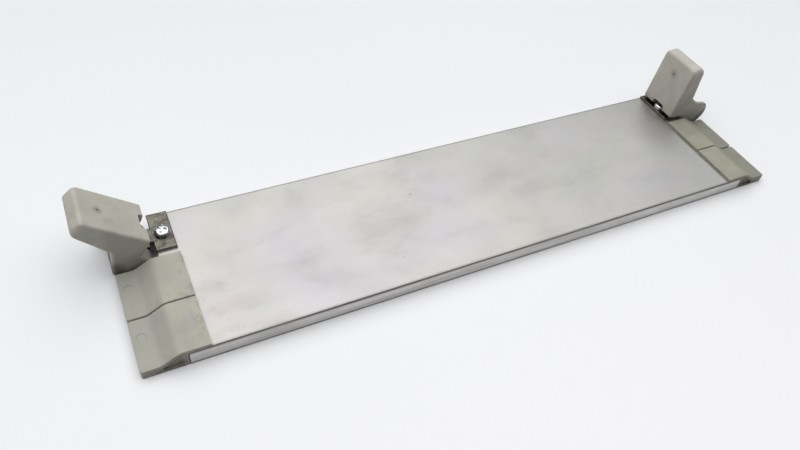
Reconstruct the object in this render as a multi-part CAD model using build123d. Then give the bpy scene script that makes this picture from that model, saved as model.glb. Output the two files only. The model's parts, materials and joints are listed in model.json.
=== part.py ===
from build123d import *
from build123d.topology import SkipClean
import os

# Blank front panel for a card rack, 6 units high and 12 pitches wide, lying face up.
# Frame: origin at the centre of the flat aluminium face, +Z out of the face,
# +X along the length, +Y across the width towards the two levers. Millimetres.

# ---------------------------------------------------------------- rack system
pitch = 5.08                                  # one horizontal pitch of the rack
slot_pitch = 4 * pitch                        # one board slot
side_relief = 0.36                            # total gap a panel leaves to its neighbours
panel_width = 3 * slot_pitch - side_relief    # 60.6
panel_length = 261.85                         # six rack units, less the relief
fixing_span = 255.9                           # between the two rows of rack fixing holes
fixing_edge = 7.45                            # first fixing hole from a slot's rear edge

half_width = panel_width / 2
half_length = panel_length / 2
slot_front, slot_middle = -slot_pitch, 0.0
slot_lever = 19.96                            # centre line of lever, bracket and screw

# ---------------------------------------------------------- aluminium channel
channel_depth = 6.0                           # face to the rims that meet the rack
base_z = -channel_depth
web = 2.0
wall = 1.6
channel_half = 116.0
channel_edge_r = 0.5
open_face_half = 108.8                        # half length of the face that nothing covers
open_face_depth = 0.2
end_hole_u = 112.6                            # from the centre to the row of end holes
clear_hole_r = 1.7

# ----------------------------------------------------------- moulded end caps
cap_gap = 0.5                                 # open groove between two caps
cap_inner_u = 108.9
cap_flat_u = 118.9
cap_slope_u = 124.8
cap_top = 1.1
cap_low = -2.6
cap_skin = 1.5
cap_block_u = 124.2                           # inner face of the solid end block
cap_edge_r = 0.35
cap_crease_r = 5.0                            # soft bends at the top and foot of the slope
cap_corner_r = 0.9
pocket_depth = 0.8                            # shallow recess in each side of a cap
pocket_rim = 0.8
pocket_inner_u = 117.2
pocket_back = 1.5
peg_r = 1.6
barb_r = 1.95
peg_length = 3.2
fixing_u = fixing_span / 2
fixing_dy = (slot_pitch - side_relief) / 2 - fixing_edge
fixing_r = 1.35
plug_r = 1.6
plug_depth = 1.0
plug_sink = 0.06
plug_edge_r = 0.15

# -------------------------------------------------------------- lever bracket
plate_t = 1.1
plate_inner_u = 109.2
plate_outer_u = 116.3
plate_front_y = 12.4
plate_rear_y = 29.9
plate_edge_r = 0.3
tongue_half = 3.1
tongue_drop_u = 117.5
pivot_u = 120.1
pivot_z = -3.5
eye_r = 2.3
pin_r = 1.0
running = 0.05
pip_y = 14.9
pip_r = 1.0
pip_length = 1.5

# ----------------------------------------------------- screw, washer and nut
screw_r = 1.5
head_r = 2.8
head_rim = 0.9
head_height = 2.1
screw_end_z = -5.4
cross_width = 0.75
cross_span = 3.2
cross_depth = 1.3
washer_r = 3.0
washer_hole_r = 1.6
washer_t = 0.5
washer_teeth = 10
nut_flats = 5.5
nut_t = 2.4

# --------------------------------------------------------------------- levers
lever_front_y = slot_lever - 9.34
lever_rear_y = slot_lever + 9.34
lever_open = 45.0                             # swing from closed to open, degrees
arm_tip = (-10.1, 6.1)                        # outline points, from the pivot, lever closed
arm_end_inner = (-7.6, 29.8)
arm_end_outer = (-1.7, 31.0)
arm_root = (-0.2, 14.2)
hub_shoulder = (8.1, 8.0)
hub_heel = (8.6, 5.35)
underside_inner = (-7.6, 5.1)
underside_outer = (-2.9, 5.1)
lever_edge_r = 1.0
lever_end_r = 3.4
slot_half = 3.5
claw_t = 1.5
notch_half = 3.4
notch_top = 8.3
notch_outer = -3.8
gate_r = 0.45
gate_depth = 0.25
gate_height = 16.8


def prism(points, y_low, y_high):
    """Closed outline in the X-Z plane, carried along Y from y_low to y_high."""
    outline = Polyline(*[(x, y_low, z) for x, z in points], close=True)
    return extrude(make_face(outline), amount=y_high - y_low, dir=(0, 1, 0))


def block(x0, x1, y0, y1, z0, z1):
    """Box between two corners."""
    centre = ((x0 + x1) / 2, (y0 + y1) / 2, (z0 + z1) / 2)
    return Pos(*centre) * Box(abs(x1 - x0), abs(y1 - y0), abs(z1 - z0))


def rod_z(x, y, z0, z1, radius):
    """Cylinder along Z."""
    return Pos(x, y, (z0 + z1) / 2) * Cylinder(radius, abs(z1 - z0))


def rod_y(x, z, y0, y1, radius):
    """Cylinder along Y."""
    return Pos(x, (y0 + y1) / 2, z) * Rot(90, 0, 0) * Cylinder(radius, abs(y1 - y0))


def at_left(shape, slot_y):
    """The same part at the other end: half a turn about the slot's upright axis."""
    return Rot(0, 0, 180) * Pos(0, -2 * slot_y, 0) * shape


def save(shape, node):
    """One STEP file per named piece."""
    shape.label = node
    export_step(shape, f"parts/{node}.step")


# ------------------------------------------------------------------- channel
def front_panel():
    """Extruded aluminium channel, open at the back, with its end holes."""
    body = block(-channel_half, channel_half, -half_width, half_width, base_z, 0)
    long_edges = body.edges().filter_by(Axis.X)
    body = fillet(long_edges.group_by(Axis.Z)[-1], channel_edge_r)
    inner = half_width - wall
    body -= block(-channel_half - 1, channel_half + 1, -inner, inner, base_z - 1, -web)
    for end in (-1, 1):
        for slot_y in (slot_front, slot_middle, slot_lever):
            body -= rod_z(end * end_hole_u, slot_y, -web - 1, 1, clear_hole_r)
        body -= rod_z(end * end_hole_u, pip_y, -web - 1, 1, pip_r + running)
    # The open middle becomes a face of its own: a slab is taken out there and put back unmerged.
    slab = body & block(
        -open_face_half, open_face_half, -half_width, half_width, -open_face_depth, 1)
    body -= slab
    with SkipClean():
        return body.fuse(slab)


# ---------------------------------------------------------------------- caps
def cap_skin_outline():
    """Section under the stepped top: what the cap would be if it were solid."""
    return [
        (cap_inner_u, 0), (channel_half + 0.25, 0), (channel_half + 0.25, base_z),
        (half_length, base_z), (half_length, cap_low), (cap_slope_u, cap_low),
        (cap_flat_u, cap_top), (cap_inner_u, cap_top),
    ]


def cap_hollow_outline(inner_u, floor_z):
    """Space under the sloping skin, from inner_u to the end block and down to floor_z."""
    return [
        (inner_u, floor_z), (inner_u, cap_top - cap_skin),
        (cap_flat_u - 0.4, cap_top - cap_skin), (cap_block_u, cap_low - cap_skin + 0.1),
        (cap_block_u, floor_z),
    ]


def end_cap(slot_y, y_low, y_high):
    """Stepped cap at the +X end, hollow behind, with a snap peg and a fixing bore."""
    cap = prism(cap_skin_outline(), y_low, y_high)
    creases = cap.edges().filter_by(Axis.Y).filter_by(
        lambda e: min(abs(e.center().X - cap_flat_u), abs(e.center().X - cap_slope_u)) < 0.01)
    cap = fillet(creases, cap_crease_r)
    outer = cap.edges().filter_by(Axis.Z).group_by(Axis.X)[-1]
    cap = fillet(outer, cap_corner_r)
    top_faces = cap.faces().filter_by(lambda f: f.normal_at(f.center()).Z > 0.5)
    rim = top_faces.edges().filter_by(lambda e: e.center().X > cap_inner_u + 0.01)
    cap = fillet(rim, cap_edge_r)
    pocket_end = pocket_depth + pocket_back
    hollow = cap_hollow_outline(channel_half + 1.75, base_z - 1)
    cap -= prism(hollow, y_low + pocket_end, y_high - pocket_end)
    pocket = cap_hollow_outline(pocket_inner_u, base_z + pocket_rim)
    cap -= prism(pocket, y_low - 1, y_low + pocket_depth)
    cap -= prism(pocket, y_high - pocket_depth, y_high + 1)
    fixing_y = slot_y + fixing_dy
    cap -= rod_z(fixing_u, fixing_y, base_z - 1, cap_low + 1, fixing_r)
    cap -= rod_z(fixing_u, fixing_y, cap_low - plug_depth, cap_low + 1, plug_r)
    cap += rod_z(end_hole_u, slot_y, -peg_length, 0.2, peg_r)
    barb = Pos(end_hole_u, slot_y, -peg_length) * Cone(
        peg_r - 0.3, barb_r, peg_length - web - 0.15, align=(Align.CENTER, Align.CENTER, Align.MIN))
    return cap + barb


def cap_plug(slot_y):
    """Disc that closes the top of a cap's fixing bore, at the +X end."""
    plug = rod_z(fixing_u, slot_y + fixing_dy, cap_low - plug_depth, cap_low - plug_sink, plug_r)
    return fillet(plug.edges().group_by(Axis.Z)[-1], plug_edge_r)


# ------------------------------------------------------------------- bracket
def pivot_bracket():
    """Screwed-down plate with a stepped tongue and an eye for the lever's pin."""
    plate = block(plate_inner_u, plate_outer_u, plate_front_y, plate_rear_y, 0, plate_t)
    plate = fillet(plate.edges().group_by(Axis.Z)[-1], plate_edge_r)
    tongue_low, tongue_high = slot_lever - tongue_half, slot_lever + tongue_half
    tongue_top = pivot_z + eye_r
    drop_u = tongue_drop_u - plate_t
    tongue = prism([
        (plate_outer_u - 1, 0), (drop_u, 0), (drop_u, tongue_top - plate_t),
        (pivot_u, tongue_top - plate_t), (pivot_u, tongue_top), (tongue_drop_u, tongue_top),
        (tongue_drop_u, plate_t - 0.3), (tongue_drop_u - 0.3, plate_t), (plate_outer_u - 1, plate_t),
    ], tongue_low, tongue_high)
    eye = rod_y(pivot_u, pivot_z, tongue_low, tongue_high, eye_r)
    bracket = plate + tongue + eye
    bracket -= rod_y(pivot_u, pivot_z, tongue_low - 1, tongue_high + 1, pin_r + running)
    bracket -= rod_z(end_hole_u, slot_lever, -1, plate_t + 1, clear_hole_r)
    return bracket + rod_z(end_hole_u, pip_y, -pip_length, 0.2, pip_r)


def bracket_screw():
    """Pan-head machine screw with a cross recess."""
    head = rod_z(end_hole_u, slot_lever, plate_t, plate_t + head_height, head_r)
    dome = head_height - head_rim
    head = fillet(head.edges().group_by(Axis.Z)[-1], dome * 0.95)
    head_top = plate_t + head_height
    for turn in (0, 90):
        wing = Box(cross_span, cross_width, 2 * cross_depth)
        head -= Pos(end_hole_u, slot_lever, head_top) * Rot(0, 0, turn + 20) * wing
    shank = rod_z(end_hole_u, slot_lever, screw_end_z, plate_t + 0.1, screw_r)
    return head + shank


def lock_washer():
    """Toothed ring under the channel's web."""
    ring = rod_z(end_hole_u, slot_lever, -web - washer_t, -web, washer_r)
    ring -= rod_z(end_hole_u, slot_lever, -web - 1, -web + 1, washer_hole_r)
    for place in PolarLocations(washer_r, washer_teeth):
        ring -= Pos(end_hole_u, slot_lever, -web) * place * Box(0.9, 0.5, 4 * washer_t)
    return ring


def hex_nut():
    """Nut that takes the bracket screw behind the web."""
    top = -web - washer_t
    hexagon = RegularPolygon(nut_flats / 2, 6, major_radius=False)
    nut = Pos(end_hole_u, slot_lever, top - nut_t) * extrude(hexagon, amount=nut_t)
    return nut - rod_z(end_hole_u, slot_lever, top - nut_t - 1, top + 1, screw_r)


# -------------------------------------------------------------------- levers
def from_pivot(points):
    """Outline points measured from the pivot, put in the part's frame."""
    return [(pivot_u + dx, pivot_z + dz) for dx, dz in points]


def lever_outline():
    """Arm and hub seen from the side: straight arm, shoulder, and a round wrap on the pin."""
    arc_45 = eye_r * 0.7071
    start, heel = from_pivot([(-eye_r, 0), (arc_45, -arc_45)])
    bottom = from_pivot([(-arc_45, -arc_45)])[0]
    corners = from_pivot([
        hub_heel, hub_shoulder, arm_root, arm_end_outer, arm_end_inner,
        arm_tip, underside_inner, underside_outer,
    ])
    y = lever_front_y
    chain = [heel, *corners, start]
    straight = Polyline(*[(u, y, z) for u, z in chain])
    wrap = ThreePointArc((start[0], y, start[1]), (bottom[0], y, bottom[1]), (heel[0], y, heel[1]))
    return make_face([straight, wrap])


def soften(face, radii):
    """Round each listed outline corner, given from the pivot, by its own radius."""
    for (dx, dz), radius in radii:
        spot = Vector(pivot_u + dx, lever_front_y, pivot_z + dz)
        corner = face.vertices().sort_by_distance(spot)[0]
        face = fillet(corner, radius)
    return face


def claw(y_low, trimmed):
    """Thin hooked plate on one side of the hub, which grips the rack's rail."""
    top, tip, side, toe, under = from_pivot(
        [(3.6, 11.1), (9.6, 9.6), (11.4, 4.4), (8.3, -0.2), (5.0, -1.6)])
    root, wrap = from_pivot([(0.5, 11.0), (0.0, -eye_r)])
    y = y_low
    outline = [
        Polyline((wrap[0], y, wrap[1]), (root[0], y, root[1]), (top[0], y, top[1]), (tip[0], y, tip[1])),
        ThreePointArc((tip[0], y, tip[1]), (side[0], y, side[1]), (toe[0], y, toe[1])),
        Polyline((toe[0], y, toe[1]), (under[0], y, under[1]), (wrap[0], y, wrap[1])),
    ]
    plate = extrude(make_face(outline), amount=claw_t, dir=(0, 1, 0))
    if trimmed:
        # A flat that lies level, just above the rims, when the lever is open.
        reach = 20
        below = block(-reach, reach, y_low - 1, y_low + claw_t + 1, -eye_r - reach, -eye_r)
        plate -= Pos(pivot_u, 0, pivot_z) * Rot(0, -lever_open, 0) * below
    return plate


def lever(trimmed):
    """Injector lever, closed, at the +X end."""
    centre_y = (lever_front_y + lever_rear_y) / 2
    width = lever_rear_y - lever_front_y
    face = soften(lever_outline(), [
        (arm_end_inner, 1.5), (arm_end_outer, 2.4), (arm_root, 1.2),
        (hub_shoulder, 0.8), (hub_heel, 0.8), (arm_tip, 0.7), (underside_outer, 0.6),
    ])
    body = extrude(face, amount=width, dir=(0, 1, 0))
    # The free end's two corners, seen square on to the finger face.
    end_z = pivot_z + arm_end_outer[1]
    frame_height = 2 * (arm_end_outer[1] + eye_r + 2)
    card = Rectangle(width, frame_height)
    card = fillet(card.vertices().group_by(Axis.Y)[-1], lever_end_r)
    card = Plane.YZ * card
    card = Pos(pivot_u, centre_y, end_z - frame_height / 2) * card
    body &= extrude(card, amount=40, both=True)
    on_sides = body.edges().filter_by(
        lambda edge: abs(abs(edge.center().Y - centre_y) - width / 2) < 0.01)
    body = fillet(on_sides, lever_edge_r)
    body += claw(lever_front_y, trimmed)
    # Middle slot for the bracket's eye and tongue, and the notch that clears the screw head.
    slot_low, slot_high = slot_lever - slot_half, slot_lever + slot_half
    left, low = pivot_u - 12, pivot_z - 8
    body -= block(left, pivot_u + 12, slot_low, slot_high, low, pivot_z + eye_r + 0.8)
    body -= block(left, pivot_u - 2.2, slot_low, slot_high, low, pivot_z + underside_outer[1])
    notch = block(
        left, pivot_u + notch_outer, slot_lever - notch_half, slot_lever + notch_half,
        low, pivot_z + notch_top)
    body -= fillet(notch.edges().filter_by(Axis.X).group_by(Axis.Z)[-1], 1.2)
    body -= rod_y(pivot_u, pivot_z, lever_front_y - 1, lever_rear_y + 1, pin_r)
    lean = (arm_end_inner[0] - arm_tip[0]) / (arm_end_inner[1] - arm_tip[1])
    gate_x = pivot_u + arm_tip[0] + lean * gate_height
    gate_z = pivot_z + arm_tip[1] + gate_height
    gate = Pos(gate_x, centre_y, gate_z) * Rot(0, 90, 0) * Cylinder(gate_r, 2 * gate_depth)
    return body - gate


def pivot_pin():
    """Plain pin, pressed in the lever's cheeks, running in the bracket's eye."""
    return rod_y(pivot_u, pivot_z, lever_front_y + 0.6, lever_rear_y - 0.6, pin_r)


def opened_left(shape):
    """A closed lever-side part, moved to the -X end and swung open."""
    moved = at_left(shape, slot_lever)
    return Pos(-pivot_u, 0, pivot_z) * Rot(0, -lever_open, 0) * Pos(pivot_u, 0, -pivot_z) * moved


# --------------------------------------------------------------------- write
os.makedirs("parts", exist_ok=True)
save(front_panel(), "front_panel")

middle_half = (slot_pitch - cap_gap) / 2
cap_places = {
    "middle": (slot_middle, -middle_half, middle_half),
    "front": (slot_front, -half_width, -middle_half - cap_gap),
}
for place, (slot_y, y_low, y_high) in cap_places.items():
    cap = end_cap(slot_y, y_low, y_high)
    plug = cap_plug(slot_y)
    save(cap, f"cap_right_{place}")
    save(plug, f"plug_right_{place}")
    # The caps at the other end are the mirror image, so their marks stay on the same side.
    save(mirror(cap, Plane.YZ), f"cap_left_{place}")
    save(mirror(plug, Plane.YZ), f"plug_left_{place}")

fittings = {
    "pivot_bracket": pivot_bracket(),
    "bracket_screw": bracket_screw(),
    "lock_washer": lock_washer(),
    "hex_nut": hex_nut(),
}
for name, shape in fittings.items():
    save(shape, f"{name}_right")
    save(mirror(shape, Plane.YZ), f"{name}_left")

save(lever(trimmed=False), "lever_right")
save(pivot_pin(), "pivot_pin_right")
save(opened_left(lever(trimmed=True)), "lever_left")
save(opened_left(pivot_pin()), "pivot_pin_left")
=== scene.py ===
# %% [markdown]
# # A blank front panel for a card rack
#
# The object is an aluminium channel with moulded plastic caps at both ends, and at each end a
# plastic injector lever that hinges on a screwed metal bracket. The CAD model fixes every size,
# place and joint. This notebook gives it the look. Pieces whose CAD shape is already right keep
# their CAD mesh and get a material, and the two bracket screws are made again with a driven cross
# recess and a rolled thread.

# %% Load the frame
import json

import bpy
import numpy as np
from mathutils import Euler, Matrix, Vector


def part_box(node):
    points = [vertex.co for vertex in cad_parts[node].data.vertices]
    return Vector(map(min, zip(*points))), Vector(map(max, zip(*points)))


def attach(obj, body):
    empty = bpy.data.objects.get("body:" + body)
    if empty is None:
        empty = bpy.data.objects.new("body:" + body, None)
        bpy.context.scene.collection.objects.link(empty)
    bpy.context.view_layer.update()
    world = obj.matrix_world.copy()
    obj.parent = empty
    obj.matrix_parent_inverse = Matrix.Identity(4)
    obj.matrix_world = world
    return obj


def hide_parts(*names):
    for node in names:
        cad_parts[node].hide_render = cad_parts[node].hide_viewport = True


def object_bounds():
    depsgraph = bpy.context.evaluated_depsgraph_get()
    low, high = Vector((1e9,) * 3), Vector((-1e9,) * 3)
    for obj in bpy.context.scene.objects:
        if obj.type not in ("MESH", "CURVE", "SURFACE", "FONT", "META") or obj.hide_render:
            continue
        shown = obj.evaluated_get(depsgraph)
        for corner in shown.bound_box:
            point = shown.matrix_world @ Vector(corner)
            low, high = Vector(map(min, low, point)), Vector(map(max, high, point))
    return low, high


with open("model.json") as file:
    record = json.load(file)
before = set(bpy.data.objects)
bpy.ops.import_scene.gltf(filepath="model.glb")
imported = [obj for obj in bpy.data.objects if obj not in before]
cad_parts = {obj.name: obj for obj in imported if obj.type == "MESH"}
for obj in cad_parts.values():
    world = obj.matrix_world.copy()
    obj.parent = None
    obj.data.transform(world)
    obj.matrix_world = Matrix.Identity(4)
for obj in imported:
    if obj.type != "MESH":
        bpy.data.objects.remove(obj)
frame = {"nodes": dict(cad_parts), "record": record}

cad_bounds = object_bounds()
MM = 0.001
print("nodes:", sorted(frame["nodes"]))
print("box in mm:", [[round(c / MM, 1) for c in corner] for corner in cad_bounds])

# %% [markdown]
# ## Colours and nodes
#
# Colours are given as sRGB hex values, the way a screen shows them, but a shader works in linear
# light, so one function turns them over. Each finish is a small graph, and one function adds every
# node with its settings and links, so that a graph reads from top to bottom.

# %% Colour and node helpers
def linear(hex_colour):
    """sRGB hex to linear RGBA: c/12.92 up to 0.04045, above that ((c + 0.055) / 1.055) ** 2.4."""
    channels = [int(hex_colour[i:i + 2], 16) / 255 for i in (1, 3, 5)]
    return [c / 12.92 if c <= 0.04045 else ((c + 0.055) / 1.055) ** 2.4 for c in channels] + [1.0]


def node(tree, kind, feeds, output=0, stops=(), **settings):
    """Adds one node and returns one of its outputs. Feeds gives each input a socket, an sRGB hex
    colour or a plain value. Stops are a colour ramp's (position, tone), a tone being an sRGB hex
    colour or a plain number."""
    made = tree.nodes.new("ShaderNode" + kind)
    for name, setting in settings.items():
        setattr(made, name, setting)
    for key, given in feeds.items():
        if isinstance(given, bpy.types.NodeSocket):
            tree.links.new(given, made.inputs[key])
        else:
            made.inputs[key].default_value = linear(given) if isinstance(given, str) else given
    for place, (position, tone) in enumerate(stops):
        elements = made.color_ramp.elements
        element = elements[place] if place < 2 else elements.new(position)
        element.position = position
        element.color = linear(tone) if isinstance(tone, str) else (tone, tone, tone, 1.0)
    return made.outputs[output]


def start_material(name):
    """An empty material: returns it, its node tree, its Principled shader and Object coordinates."""
    material = bpy.data.materials.new(name)
    material.use_nodes = True
    tree = material.node_tree
    return material, tree, tree.nodes["Principled BSDF"], node(tree, "TexCoord", {}, "Object")


print("mid grey is", [round(c, 3) for c in linear("#808080")[:3]], "in linear light")

# %% [markdown]
# A pattern is given by its real size in millimetres, while the objects are in metres. A stretched
# pattern is drawn out along an axis, as extruding or rubbing does, and a shift moves it, so that
# two layers don't line up.

# %% Pattern sizes
def per_mm(size_mm):
    """Scale of a pattern whose blobs are about size_mm across."""
    return 1 / (size_mm * MM)


def stretched(size_mm, along_x, along_y, along_z=1):
    """Scales along the three axes, for blobs size_mm across times a stretch on each axis."""
    return [per_mm(size_mm * stretch) for stretch in (along_x, along_y, along_z)]


def shift(amount):
    """A step off the origin of the pattern, different on each axis."""
    return amount, amount * 0.7, amount * 0.3


print("a metre holds about", round(per_mm(45)), "blobs of a 45 mm pattern")

# %% [markdown]
# Dirt and painted shade are put on in two ways. A stain follows a pattern alone, and so does some
# painted shade. Placed dirt and shade follow a place on the part, such as an edge, a foot or a
# recess, but their border is broken up by the smears, so it isn't ruled.

# %% Stains and grime
def stain_and_shade(tree, tone, pattern, stops, colour):
    """Lays a stain colour over a tone, as strongly as the stops make of the pattern; some callers
    lay painted shade with it.
    """
    strength = node(tree, "ValToRGB", {"Fac": pattern}, stops=stops)
    return node(tree, "Mix", {0: strength, 6: tone, 7: colour}, 2, data_type="RGBA")


def placed_dirt_and_shade(tree, tone, amount, smears, stops, colour):
    """Stains a tone by the place's amount plus the smears, a sum that runs from 0 to 2; some callers
    lay painted shade with it.
    """
    total = node(tree, "Math", {0: amount, 1: smears}, operation="ADD")
    share = node(tree, "Math", {0: total, 1: 0.5}, operation="MULTIPLY")
    return stain_and_shade(tree, tone, share, [(at / 2, strength) for at, strength in stops], colour)

# %% [markdown]
# ## Passivated aluminium
#
# The channel is extruded aluminium with a clear chemical finish. That is satin, not brushed: the
# reflection is soft all round. Years of handling have left wide clouds with a faint lilac or
# green tint, smudges about 12 mm across, faint scuffs along the length and a few dark specks
# in clusters. One flat grey would look like paint, so tone and gloss both follow slow noise.

# %% Clouds, tints, smudges, specks and scuffs of the face
EDGE_Y = 30.0                                   # where the dark line along the long edges is darkest, in mm
EDGE_LINE_FROM = 0.973                          # share of that at which the line starts


def face_tone(tree, coords, smudges, x, y):
    """Tone of the flat face: clouds 45 mm wide, tints 34 mm, specks 1.1 mm, scuffs 0.3 mm."""
    clouds = node(tree, "TexNoise", {
        "Vector": coords, "Scale": per_mm(45), "Detail": 3.0, "Roughness": 0.55})
    tone = node(tree, "ValToRGB", {"Fac": clouds}, stops=[
        (0.30, "#b9b7b7"), (0.48, "#c3c1c1"), (0.68, "#cac8c5")])
    tint_place = node(tree, "Mapping", {
        "Vector": coords, "Location": shift(3.1), "Scale": stretched(34, 1.3, 0.8)})
    tints = node(tree, "TexNoise", {"Vector": tint_place, "Scale": 1.0, "Detail": 2.0})
    tint = node(tree, "ValToRGB", {"Fac": tints}, stops=[
        (0.32, "#c1bdc7"), (0.44, "#c3c1c1"), (0.56, "#bcbdb2"), (0.68, "#c6bbb9")])
    tone = node(tree, "Mix", {0: 0.34, 6: tone, 7: tint}, 2, data_type="RGBA")
    # The face darkens from 40 mm left of the middle to its right end.
    rightward = node(tree, "MapRange", {"Value": x, "From Min": -40 * MM, "From Max": 116 * MM})
    tone = stain_and_shade(tree, tone, rightward, [(0.0, 0.0), (1.0, 0.34)], "#b4b6ae")
    tone = stain_and_shade(tree, tone, smudges, [(0.52, 0.0), (0.72, 0.19)], "#a09e9a")
    # Specks show only inside clusters 16 mm wide.
    speck_place = node(tree, "Mapping", {
        "Vector": coords, "Location": shift(8.2), "Scale": stretched(1.1, 1, 1)})
    specks = node(tree, "TexNoise", {"Vector": speck_place, "Scale": 1.0, "Detail": 1.0})
    dark_specks = node(tree, "ValToRGB", {"Fac": specks}, stops=[(0.70, 0.0), (0.76, 0.40)])
    cluster_place = node(tree, "Mapping", {
        "Vector": coords, "Location": shift(9.9), "Scale": stretched(16, 1, 1)})
    clusters = node(tree, "TexNoise", {"Vector": cluster_place, "Scale": 1.0, "Detail": 1.0})
    in_cluster = node(tree, "ValToRGB", {"Fac": clusters}, stops=[(0.56, 0.0), (0.66, 1.0)])
    gathered = node(tree, "Math", {0: dark_specks, 1: in_cluster}, operation="MULTIPLY")
    tone = node(tree, "Mix", {0: gathered, 6: tone, 7: "#84817b"}, 2, data_type="RGBA")
    scuff_place = node(tree, "Mapping", {
        "Vector": coords, "Location": shift(7.3), "Scale": stretched(0.3, 26, 1)})
    scuffs = node(tree, "TexNoise", {
        "Vector": scuff_place, "Scale": 1.0, "Detail": 2.0, "Roughness": 0.6})
    tone = stain_and_shade(tree, tone, scuffs, [(0.62, 0.0), (0.74, 0.30)], "#dcdbd8")
    # A dark line runs along both long edges, stronger at the rear; along the front edge it is a
    # painted dark reflection in the rounded edge.
    for edge_y, strength in ((EDGE_Y, 0.65), (-EDGE_Y, 0.35)):
        at_edge = node(tree, "MapRange", {
            "Value": y, "From Min": EDGE_LINE_FROM * edge_y * MM, "From Max": edge_y * MM})
        tone = stain_and_shade(tree, tone, at_edge, [(0.0, 0.0), (1.0, strength)], "#65625c")
    return tone


print("the edge line is", round((1 - EDGE_LINE_FROM) * EDGE_Y, 1), "mm wide")

# %% [markdown]
# The long side walls were never wiped. They still show the fine lines that the extrusion die drew
# along them. Painted shade darkens their foot along the rim, next to the table, and a painted dark
# reflection darkens them just under the rounded edge. Metals keep the default IOR: the base colour
# is what they reflect.

# %% Side walls of the channel
def wall_tone(tree, coords, smudges, z):
    """Tone of the side walls by height from the rim to the face, with die lines 0.5 mm apart."""
    height = node(tree, "MapRange", {"Value": z, "From Min": -6 * MM, "From Max": 0.0})
    # Painted shade darkens the foot of the wall next to the table, and a painted dark reflection
    # darkens it just under the rounded edge.
    wall = node(tree, "ValToRGB", {"Fac": height}, stops=[
        (0.00, "#6b6965"), (0.08, "#8a8884"), (0.16, "#d8d7d5"), (0.80, "#dedddb"),
        (0.88, "#97948f"), (0.94, "#56534e")])
    worn = stain_and_shade(tree, wall, smudges, [(0.35, 0.0), (0.65, 0.35)], "#b8b6b2")
    line_place = node(tree, "Mapping", {
        "Vector": coords, "Location": shift(4.4), "Scale": stretched(0.5, 80, 1)})
    die_lines = node(tree, "TexNoise", {"Vector": line_place, "Scale": 1.0, "Detail": 2.0})
    drawn = stain_and_shade(tree, "#e6e5e3", die_lines, [(0.35, 0.0), (0.65, 1.0)], "#ffffff")
    return node(tree, "Mix", {0: 1.0, 6: worn, 7: drawn}, 2, data_type="RGBA",
                blend_type="MULTIPLY")


# %% Passivated aluminium
def passivated_aluminium():
    """Face tone above the rounded edge and wall tone below it, smudges 12 mm, grain 0.35 mm."""
    material, tree, shader, coords = start_material("passivated_extruded_aluminium")
    x, y, z = (node(tree, "SeparateXYZ", {"Vector": coords}, axis) for axis in "XYZ")
    smudge_place = node(tree, "Mapping", {
        "Vector": coords, "Location": shift(5.7), "Scale": stretched(12, 1.5, 0.9)})
    smudges = node(tree, "TexNoise", {
        "Vector": smudge_place, "Scale": 1.0, "Detail": 4.0, "Roughness": 0.6})
    grain_place = node(tree, "Mapping", {"Vector": coords, "Scale": stretched(0.35, 2.5, 1)})
    grain = node(tree, "TexNoise", {"Vector": grain_place, "Scale": 1.0, "Detail": 2.0})
    on_top = node(tree, "MapRange", {"Value": z, "From Min": -0.30 * MM, "From Max": -0.02 * MM})
    tone = node(tree, "Mix", {
        0: on_top,
        6: wall_tone(tree, coords, smudges, z),
        7: face_tone(tree, coords, smudges, x, y),
    }, 2, data_type="RGBA")
    tree.links.new(tone, shader.inputs["Base Color"])
    shader.inputs["Metallic"].default_value = 1.0
    gloss = node(tree, "ValToRGB", {"Fac": smudges}, stops=[(0.30, 0.45), (0.70, 0.54)])
    tree.links.new(gloss, shader.inputs["Roughness"])
    dents = node(tree, "Bump", {"Height": smudges, "Strength": 1.0, "Distance": 0.006 * MM})
    relief = node(tree, "Bump", {
        "Height": grain, "Normal": dents, "Strength": 1.0, "Distance": 0.004 * MM})
    tree.links.new(relief, shader.inputs["Normal"])
    return material


aluminium = passivated_aluminium()
print("made", aluminium.name)

# %% [markdown]
# ## Moulded pebble grey plastic
#
# Caps, plugs and levers are injection moulded ABS in a warm pebble grey. The mould was spark eroded,
# which leaves an even matt texture of about a quarter of a millimetre. Use has left a yellow green
# film in patches and brown smears a few millimetres across. The caps and plugs at the right end are
# darker in every tone, so the colours are arguments.

# %% Used ABS
ABS_IOR = 1.53


def used_abs(tree, coords, light, dark, film, grime_and_shade):
    """Tone of used ABS: drift over 11 mm, film in 7 mm patches, smears 4 mm long.
    Returns the tone, the patches and the smears, so that gloss and relief can follow them."""
    drift = node(tree, "TexNoise", {"Vector": coords, "Scale": per_mm(11), "Detail": 3.0})
    patch_place = node(tree, "Mapping", {
        "Vector": coords, "Location": shift(2.3), "Scale": stretched(7, 1, 1)})
    patches = node(tree, "TexNoise", {
        "Vector": patch_place, "Scale": 1.0, "Detail": 4.0, "Roughness": 0.62})
    smear_place = node(tree, "Mapping", {
        "Vector": coords, "Location": shift(6.4), "Scale": stretched(4, 1, 1.8)})
    smears = node(tree, "TexNoise", {
        "Vector": smear_place, "Scale": 1.0, "Detail": 5.0, "Roughness": 0.65})
    tone = node(tree, "ValToRGB", {"Fac": drift}, stops=[(0.32, dark), (0.66, light)])
    tone = stain_and_shade(tree, tone, patches, [(0.46, 0.0), (0.70, 0.55)], film)
    tone = stain_and_shade(tree, tone, smears, [(0.58, 0.0), (0.80, 0.40)], grime_and_shade)
    return tone, patches, smears


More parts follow.
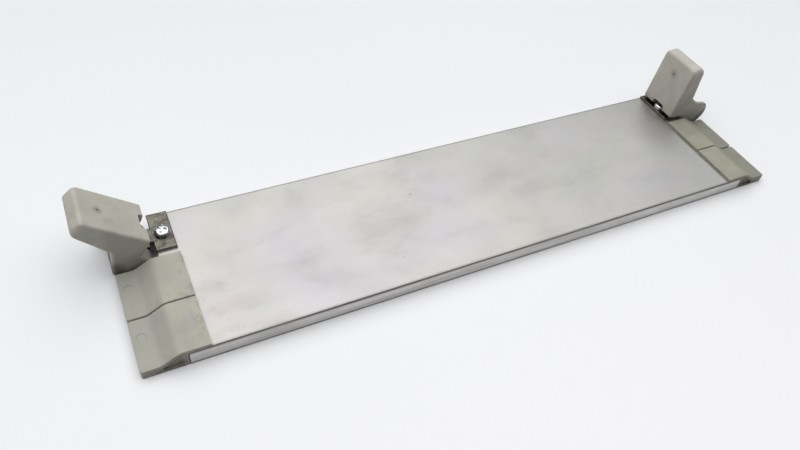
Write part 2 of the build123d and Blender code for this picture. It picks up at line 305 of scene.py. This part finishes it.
def spark_texture(tree, shader, coords, tone, patches, smears):
    """Puts the tone on, with a matt spark texture of 0.25 mm that is duller under the film."""
    tree.links.new(tone, shader.inputs["Base Color"])
    gloss = node(tree, "ValToRGB", {"Fac": patches}, stops=[(0.35, 0.46), (0.70, 0.62)])
    tree.links.new(gloss, shader.inputs["Roughness"])
    shader.inputs["IOR"].default_value = ABS_IOR
    sparks = node(tree, "TexNoise", {
        "Vector": coords, "Scale": per_mm(0.25), "Detail": 2.0, "Roughness": 0.7})
    smeared = node(tree, "Bump", {"Height": smears, "Strength": 1.0, "Distance": 0.012 * MM})
    relief = node(tree, "Bump", {
        "Height": sparks, "Normal": smeared, "Strength": 1.0, "Distance": 0.018 * MM})
    tree.links.new(relief, shader.inputs["Normal"])


# %% [markdown]
# A cap is dirtiest where hands and cloths don't reach, where it meets the face. Its front side and
# the pockets of its sides are darkened with painted shade mixed with grime. The outer tongue is
# darker, and the sloping step between the two flats is greyer than they are. The pocket lies under
# the slope, so its painted shade and grime follow the depth below the slope's plane.

# %% Caps
# Places in mm, as in the CAD model: ends of the flats along X, their heights, the front side.
CAP_INNER, CAP_FLAT, CAP_SLOPE, CAP_END = 108.9, 118.9, 124.8, 130.9
CAP_TOP, CAP_LOW, CAP_FRONT = 1.1, -2.6, -30.3


def pocket_reach(tree, coords, side, x, y):
    """1 in a side pocket and 0 elsewhere: deep enough under the slope, past its inner end, near
    the side. The slope's plane is z = 1.1 - 0.627 (|x| - 118.9) in mm, and depth is that less z."""
    fall = (CAP_TOP - CAP_LOW) / (CAP_SLOPE - CAP_FLAT)
    leaning = node(tree, "VectorMath", {0: coords, 1: (-fall * side, 0, -1)}, "Value",
                   operation="DOT_PRODUCT")
    plane_at_centre = (CAP_TOP + fall * CAP_FLAT) * MM
    depth = node(tree, "Math", {0: leaning, 1: plane_at_centre}, operation="ADD")
    deep = node(tree, "MapRange", {"Value": depth, "From Min": 0.7 * MM, "From Max": 1.5 * MM})
    outward = node(tree, "MapRange", {
        "Value": x, "From Min": side * 117.0 * MM, "From Max": side * 118.4 * MM})
    sideward = node(tree, "MapRange", {
        "Value": y, "From Min": (CAP_FRONT + 1.3) * MM, "From Max": (CAP_FRONT + 1.0) * MM})
    both = node(tree, "Math", {0: deep, 1: outward}, operation="MULTIPLY")
    return node(tree, "Math", {0: both, 1: sideward}, operation="MULTIPLY")


def cap_plastic(name, side, light, dark, film, grime_and_shade, tongue):
    """Used ABS of the caps at one end: side is -1 or +1, tongue the tone of the low flat."""
    material, tree, shader, coords = start_material(name)
    x, y = (node(tree, "SeparateXYZ", {"Vector": coords}, axis) for axis in "XY")
    tone, patches, smears = used_abs(tree, coords, light, dark, film, grime_and_shade)
    outward = node(tree, "MapRange", {
        "Value": x, "From Min": side * CAP_INNER * MM, "From Max": side * CAP_END * MM})
    length = CAP_END - CAP_INNER
    step, foot = (CAP_FLAT - CAP_INNER) / length, (CAP_SLOPE - CAP_INNER) / length
    tone = stain_and_shade(tree, tone, outward, [
        (step - 0.02, 0.0), (step + 0.02, 0.5), (foot - 0.03, 0.5), (foot + 0.03, 0.0)], dark)
    tone = stain_and_shade(tree, tone, outward, [(foot - 0.04, 0.0), (foot + 0.04, 0.75)], tongue)
    tone = placed_dirt_and_shade(tree, tone, outward, smears, [(0.38, 0.40), (0.54, 0.0)], grime_and_shade)
    # Painted shade on the front side, which gets little light, mixed with grime broken up by the
    # smears.
    by_side = node(tree, "MapRange", {
        "Value": y, "From Min": (CAP_FRONT + 0.35) * MM, "From Max": CAP_FRONT * MM})
    tone = placed_dirt_and_shade(tree, tone, by_side, smears, [(0.80, 0.0), (1.55, 0.60)], grime_and_shade)
    # Painted shade in the side pockets under the slope, mixed with grime broken up by the smears.
    in_pocket = pocket_reach(tree, coords, side, x, y)
    tone = placed_dirt_and_shade(tree, tone, in_pocket, smears, [(0.90, 0.0), (1.55, 0.75)], grime_and_shade)
    spark_texture(tree, shader, coords, tone, patches, smears)
    return material


cap_left = cap_plastic(
    "spark_textured_abs_cap", side=-1, light="#b4b2a4", dark="#a4a29a",
    film="#a9a892", grime_and_shade="#55514a", tongue="#a19f95")
# The right end's caps and plugs are darker in every tone.
cap_right = cap_plastic(
    "spark_textured_abs_cap_darker", side=1, light="#a8a595", dark="#959285",
    film="#959279", grime_and_shade="#4f4b40", tongue="#83837a")
print("made", cap_left.name, cap_right.name)

# %% [markdown]
# A lever is cleaner, because the thumb that works it wipes it, apart from a smudge round the mark
# that the moulding gate left. Its tone falls away towards the pivot. The heel of the hub is browned
# with painted shade, and the flank that faces the caps is greyed with painted shade.

# %% Levers
# Places in mm, as in the CAD model: the pin's axis, the levers' front flank, the gate marks.
PIVOT_X, PIVOT_Z = 120.1, -3.5
LEVER_FRONT = 10.62
LEFT_GATE = (-130.5, 20, 18.5)
RIGHT_GATE = (111.9, 20, 19.4)


def lever_plastic(name, side, gate):
    """Used ABS of one lever, with a brown bloom that thins out 15 mm above the pivot, painted shade
    at the heel and on the front flank, and a thumb smudge round the moulding gate, a place in mm."""
    material, tree, shader, coords = start_material(name)
    x, y, z = (node(tree, "SeparateXYZ", {"Vector": coords}, axis) for axis in "XYZ")
    tone, patches, smears = used_abs(
        tree, coords, light="#c2bfb4", dark="#b2afa4", film="#b1af9f", grime_and_shade="#66604f")
    height = node(tree, "MapRange", {
        "Value": z, "From Min": (PIVOT_Z - 3) * MM, "From Max": (PIVOT_Z + 15) * MM})
    tone = placed_dirt_and_shade(tree, tone, height, smears, [(0.50, 0.66), (1.20, 0.0)], "#6d685c")
    # Painted shade on the heel, the outer lower face of the hub, which faces away from the light.
    outward = node(tree, "MapRange", {
        "Value": x, "From Min": side * (PIVOT_X + 4.5) * MM,
        "From Max": side * (PIVOT_X + 9.5) * MM})
    low = node(tree, "MapRange", {
        "Value": z, "From Min": (PIVOT_Z + 8.5) * MM, "From Max": (PIVOT_Z + 2.5) * MM})
    heel = node(tree, "Math", {0: outward, 1: low}, operation="MULTIPLY")
    tone = placed_dirt_and_shade(tree, tone, heel, smears, [(0.85, 0.0), (1.30, 0.75)], "#4b4435")
    apart = node(tree, "VectorMath", {0: coords, 1: Vector(gate) * MM}, operation="SUBTRACT")
    distance = node(tree, "VectorMath", {0: apart}, "Value", operation="LENGTH")
    near_gate = node(tree, "MapRange", {
        "Value": distance, "From Min": 3.2 * MM, "From Max": 0.4 * MM})
    tone = placed_dirt_and_shade(tree, tone, near_gate, smears, [(0.85, 0.0), (1.50, 0.70)], "#77736a")
    # Painted shade on the front flank, which faces away from the light.
    flank = node(tree, "MapRange", {
        "Value": y, "From Min": (LEVER_FRONT + 1.4) * MM, "From Max": LEVER_FRONT * MM})
    tone = placed_dirt_and_shade(tree, tone, flank, smears, [(0.75, 0.0), (1.50, 0.34)], "#58544a")
    spark_texture(tree, shader, coords, tone, patches, smears)
    return material


lever_left = lever_plastic("spark_textured_abs_lever", side=-1, gate=LEFT_GATE)
lever_right = lever_plastic("spark_textured_abs_lever_right", side=1, gate=RIGHT_GATE)
print("made", lever_left.name, lever_right.name)

# %% [markdown]
# ## Plated steel
#
# The brackets are sheet steel with a nickel plate that has gone dull and brownish, scratched in
# fine lines where the lever and the driver rubbed. The screws and nuts are bright zinc, which is
# smoother and a little blue. All are metals, so tone and gloss vary and the IOR stays.

# %% Plated metals
def plated_steel(name, light, dark, smooth, rough, scratch, along_x=1, along_y=1):
    """Blotches of 2.5 mm steer tone and gloss; scratches 0.2 mm wide are drawn out."""
    material, tree, shader, coords = start_material(name)
    blotch = node(tree, "TexNoise", {
        "Vector": coords, "Scale": per_mm(2.5), "Detail": 4.0, "Roughness": 0.6})
    line_place = node(tree, "Mapping", {
        "Vector": coords, "Location": shift(1.9), "Scale": stretched(0.2, along_x, along_y)})
    lines = node(tree, "TexNoise", {"Vector": line_place, "Scale": 1.0, "Detail": 2.0})
    tone = node(tree, "ValToRGB", {"Fac": blotch}, stops=[(0.34, dark), (0.66, light)])
    tone = stain_and_shade(tree, tone, lines, [(0.60, 0.0), (0.72, scratch)], "#e4e2dc")
    tree.links.new(tone, shader.inputs["Base Color"])
    gloss = node(tree, "ValToRGB", {"Fac": blotch}, stops=[(0.34, rough), (0.66, smooth)])
    tree.links.new(gloss, shader.inputs["Roughness"])
    shader.inputs["Metallic"].default_value = 1.0
    relief = node(tree, "Bump", {"Height": lines, "Strength": 1.0, "Distance": 0.004 * MM})
    tree.links.new(relief, shader.inputs["Normal"])
    return material


nickel = plated_steel(
    "dull_nickel_plate", light="#767369", dark="#514e46",
    smooth=0.20, rough=0.34, scratch=0.30, along_x=6)
zinc_screw = plated_steel(
    "bright_zinc_plate_screw", light="#e6e8ea", dark="#c6cacd",
    smooth=0.15, rough=0.26, scratch=0.2)
zinc_nut = plated_steel(
    "bright_zinc_plate_nut", light="#d3d6d8", dark="#aeb2b5",
    smooth=0.22, rough=0.34, scratch=0.2)
ground_pin = plated_steel(
    "ground_steel_pin", light="#c8c8c8", dark="#a6a6a6",
    smooth=0.20, rough=0.30, scratch=0.3, along_y=8)
print("made", nickel.name, zinc_screw.name, zinc_nut.name, ground_pin.name)

# %% [markdown]
# Every CAD node is given the finish of its slot. Caps, plugs and levers also look at which end they
# are on, because grime and painted shade are placed from the pivot and the outer edge of that end.

# %% Give every CAD node its material
FINISHES = {
    "panel_aluminium": (aluminium, aluminium),
    "cap_plastic": (cap_left, cap_right),
    "plug_plastic": (cap_left, cap_right),
    "lever_plastic": (lever_left, lever_right),
    "bracket_nickel": (nickel, nickel),
    "screw_zinc": (zinc_screw, zinc_screw),
    "fastener_steel": (zinc_nut, zinc_nut),
    "pin_steel": (ground_pin, ground_pin),
}
for entry in frame["record"]["subparts"]:
    on_right = "right" in entry["node"]
    cad_mesh = frame["nodes"][entry["node"]].data
    cad_mesh.materials.clear()
    cad_mesh.materials.append(FINISHES[entry["material_slot"]][int(on_right)])

# %% [markdown]
# ## Bracket screws
#
# The real screw is an M3 pan head, cold formed with a cross recess and rolled with a thread of
# half a millimetre pitch. It could be modelled from cylinders and booleans, but it is one turned
# surface: every point has an angle round the axis and a place along the outline. So it is worked
# out on one grid, from the middle of the recess out over the dome, round the rim, in under the
# head, down the thread and to the tip.

# %% Grid to mesh
SHARP_EDGE = 38                                 # degrees, above which an edge isn't smoothed


def closed_turning(name, x, y, z, finish):
    """Mesh of a turned grid. Rows run along the outline and columns round the axis; the first and
    last rows are closed with a pole at their mean, and the columns join up."""
    rows, columns = x.shape
    points = np.stack([x, y, z], axis=-1).reshape(-1, 3)
    poles = np.stack([points[:columns].mean(axis=0), points[-columns:].mean(axis=0)])
    i, j = np.meshgrid(np.arange(rows - 1), np.arange(columns), indexing="ij")
    beside = (j + 1) % columns
    quads = np.stack([i * columns + j, (i + 1) * columns + j,
                      (i + 1) * columns + beside, i * columns + beside], axis=-1).reshape(-1, 4)
    ring = np.arange(columns)
    first, last = rows * columns, rows * columns + 1
    end_row = (rows - 1) * columns
    top = np.stack([np.full(columns, first), ring, (ring + 1) % columns], axis=-1)
    tip = np.stack([np.full(columns, last), end_row + (ring + 1) % columns, end_row + ring], axis=-1)
    mesh = bpy.data.meshes.new(name)
    mesh.from_pydata(np.concatenate([points, poles]).tolist(), [],
                     quads.tolist() + top.tolist() + tip.tolist())
    mesh.shade_smooth()
    mesh.set_sharp_from_angle(angle=np.radians(SHARP_EDGE))
    mesh.materials.append(finish)
    made = bpy.data.objects.new(name, mesh)
    bpy.context.scene.collection.objects.link(made)
    return made


# %% [markdown]
# The dome is a squared-off circle, nearly level in the middle and steep at the rim. The cross is
# two wings at right angles. Inside them the surface drops by a depth that is greatest in the
# middle, and the wings' walls lean a little, as the forming punch needs to come out again. The
# thread is a triangle wave whose phase follows both the height and the angle, so that it climbs.

# %% Screw outline, recess and thread
# Lengths in mm.
HEAD_RADIUS = 2.8
HEAD_RIM = 0.9
HEAD_HEIGHT = 2.1
RIM_CHAMFER = 0.12
SEAT_RADIUS = 2.1
DOME_POWER = 2.6                                # 2 would be a true circle
SHANK_RADIUS = 1.5
THREAD_PITCH = 0.5
THREAD_DEPTH = 0.28
THREAD_RUNOUT = 0.35
ROWS_PER_TURN = 10
WING_WIDTH = 0.85
WING_REACH = 1.80
WALL_LEAN = 0.12
RECESS_DEPTH = 1.5
RECESS_AT_TIPS = 0.45                           # share of the depth left at the wings' ends
POLE_RADIUS = 0.03                              # the first row, round the middle of the recess
COLUMNS = 192
DOME_ROWS = 64


def screw_grid(seat_z, tip_z, turn):
    """Radius and height of a pan-head screw on the grid, in mm, about its own axis.
    Dome: z is the rim plus the rise times sqrt(1 - (r/R)^power). Recess: inside two wings z drops
    by the depth, tapering to a share of it at their ends. Thread: r drops by the thread's depth
    times a triangle wave of z/pitch less the share of a full turn."""
    angle = np.linspace(0, 2 * np.pi, COLUMNS, endpoint=False)[None, :]
    flat = np.ones_like(angle)
    # Dome, from the middle out.
    r = np.linspace(POLE_RADIUS, HEAD_RADIUS, DOME_ROWS)[:, None]
    rise = HEAD_HEIGHT - HEAD_RIM
    curve = np.sqrt(np.clip(1 - (r / HEAD_RADIUS) ** DOME_POWER, 0, 1))
    dome_z = seat_z + HEAD_RIM + rise * curve * flat
    wing_x, wing_y = r * np.cos(angle - turn), r * np.sin(angle - turn)
    across = np.minimum(np.abs(wing_x), np.abs(wing_y))
    inside = np.clip((WING_WIDTH / 2 + WALL_LEAN / 2 - across) / WALL_LEAN, 0, 1)
    ends = np.clip((WING_REACH - r) / (2 * WALL_LEAN), 0, 1)
    fall = RECESS_DEPTH * (RECESS_AT_TIPS + (1 - RECESS_AT_TIPS) * (1 - r / WING_REACH))
    dome_z = dome_z - np.clip(fall, 0, None) * inside * ends
    # Rim and underside of the head.
    rim_r = np.array([
        HEAD_RADIUS, HEAD_RADIUS, HEAD_RADIUS - RIM_CHAMFER, SEAT_RADIUS, SHANK_RADIUS])[:, None]
    rim_z = seat_z + np.array([0.5 * HEAD_RIM, RIM_CHAMFER, 0.0, 0.0, 0.0])[:, None]
    # Thread, down to the run-out.
    thread_rows = int((seat_z - tip_z) / THREAD_PITCH * ROWS_PER_TURN)
    thread_z = np.linspace(seat_z - 0.02, tip_z + THREAD_RUNOUT, thread_rows)[:, None]
    phase = thread_z / THREAD_PITCH - angle / (2 * np.pi)
    thread_r = SHANK_RADIUS - THREAD_DEPTH * np.abs(2 * (phase % 1) - 1)
    # Flat tip.
    tip_r = np.array([SHANK_RADIUS - THREAD_RUNOUT, 0.7, 0.05])[:, None]
    tip_rows_z = np.array([tip_z + 0.02, tip_z, tip_z])[:, None]
    radius = np.concatenate([r * flat, rim_r * flat, thread_r, tip_r * flat])
    height = np.concatenate([dome_z, rim_z * flat, thread_z * flat, tip_rows_z * flat])
    return radius, height, angle


print("screw: head", 2 * HEAD_RADIUS, "mm across, thread", 2 * SHANK_RADIUS, "x", THREAD_PITCH)

# %% [markdown]
# The two screws stand where the CAD screws do. The seat is one head's height below the CAD
# screw's top, and the tip is at its lowest point. A screwdriver leaves each cross at its own angle.

# %% Make the two screws
for side, turn_deg in (("left", 160), ("right", 20)):
    cad_name = f"bracket_screw_{side}"
    low, high = (np.array(c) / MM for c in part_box(cad_name))
    axis_x, axis_y = (low[:2] + high[:2]) / 2
    radius, height, angle = screw_grid(high[2] - HEAD_HEIGHT, low[2], np.radians(turn_deg))
    screw = closed_turning(
        f"pan_head_screw_{side}",
        (axis_x + radius * np.cos(angle)) * MM,
        (axis_y + radius * np.sin(angle)) * MM,
        height * MM, zinc_screw)
    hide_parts(cad_name)
    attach(screw, "panel")
    print(screw.name, "has", len(screw.data.vertices), "points")

# %% [markdown]
# ## Camera, table and light
#
# The panel lies on a white table and is seen from above its front left corner. The light is one
# very wide soft box, overhead and a little behind, with a weak fill high on the left. So the walls
# that face the camera are in shade, shadows are soft, and the aluminium mirrors the soft box
# except near its right end.

# %% Camera
CAMERA_PLACE = Vector((-124.6, -153.6, 187.4)) * MM
CAMERA_TURN = (42.75, -5.84, -25.42)            # degrees about X, Y and Z
SENSOR_WIDTH = 36.0
LENS = 31.36

camera = bpy.data.objects.new("camera", bpy.data.cameras.new("camera"))
camera.data.sensor_width = SENSOR_WIDTH
camera.data.lens = LENS
camera.data.clip_start = 0.01
camera.location = CAMERA_PLACE
camera.rotation_euler = Euler([np.radians(a) for a in CAMERA_TURN])
bpy.context.scene.collection.objects.link(camera)
bpy.context.scene.camera = camera
print("camera is", round(CAMERA_PLACE.length, 3), "m from the middle of the face")

# %% [markdown]
# The table is a white, matt laminate, pressed from paper and melamine resin. One flat colour would
# do for a plain floor, but it would look empty. So a faint cast drifts over a quarter of a metre,
# and painted shade turns the white cooler and greyer to the rear.

# %% Table
REACH = 3.0                                     # half the table's width, in metres


def white_laminate():
    """Casts 260 mm wide on a white that greys with painted shade from 160 mm before the middle to
    420 mm behind it.
    """
    material, tree, shader, coords = start_material("white_laminate")
    cast = node(tree, "TexNoise", {"Vector": coords, "Scale": per_mm(260), "Detail": 1.0})
    nearby = node(tree, "ValToRGB", {"Fac": cast}, stops=[(0.3, "#f7f6f8"), (0.7, "#fbfafc")])
    y = node(tree, "SeparateXYZ", {"Vector": coords}, "Y")
    # Painted shade: the white greys towards the rear.
    away = node(tree, "MapRange", {"Value": y, "From Min": -160 * MM, "From Max": 420 * MM})
    tone = stain_and_shade(tree, nearby, away, [(0.0, 0.0), (1.0, 1.0)], "#dfe4e7")
    tree.links.new(tone, shader.inputs["Base Color"])
    shader.inputs["Roughness"].default_value = 0.6
    return material


floor_z = cad_bounds[0][2]
corners = [(-REACH, -REACH), (REACH, -REACH), (REACH, REACH), (-REACH, REACH)]
table_mesh = bpy.data.meshes.new("table_top")
table_mesh.from_pydata([(x, y, floor_z) for x, y in corners], [], [(0, 1, 2, 3)])
table_mesh.materials.append(white_laminate())
table_top = bpy.data.objects.new("table_top", table_mesh)
bpy.context.scene.collection.objects.link(table_top)
print("table top is at", round(floor_z / MM, 2), "mm")

# %% Light
def soft_light(name, place, aim, width, depth, radiance, colour):
    """Rectangular light at place, facing aim, in metres. Its power is radiance x pi x area."""
    lamp = bpy.data.lights.new(name, "AREA")
    lamp.shape = "RECTANGLE"
    lamp.size = width
    lamp.size_y = depth
    lamp.energy = radiance * np.pi * width * depth
    lamp.color = linear(colour)[:3]
    holder = bpy.data.objects.new(name, lamp)
    holder.location = place
    holder.rotation_euler = (Vector(aim) - Vector(place)).to_track_quat("-Z", "Y").to_euler()
    bpy.context.scene.collection.objects.link(holder)
    print(name, "is", width, "x", depth, "m and takes", round(lamp.energy, 1), "W")


world = bpy.data.worlds.new("studio")
world.use_nodes = True
surroundings = world.node_tree.nodes["Background"]
surroundings.inputs["Color"].default_value = linear("#eef1f5")
surroundings.inputs["Strength"].default_value = 0.10
bpy.context.scene.world = world
# The soft box is aimed 0.1 mm behind straight down.
soft_light(
    "softbox", place=(0.15, 0.55, 1.15), aim=(0.15, 0.5501, 0.0),
    width=2.4, depth=2.6, radiance=1.55, colour="#ffffff")
soft_light(
    "left_fill", place=(-0.95, 0.10, 1.05), aim=(0, 0, 0),
    width=0.8, depth=0.8, radiance=0.9, colour="#f8fbff")
bpy.context.scene.view_settings.view_transform = "Standard"
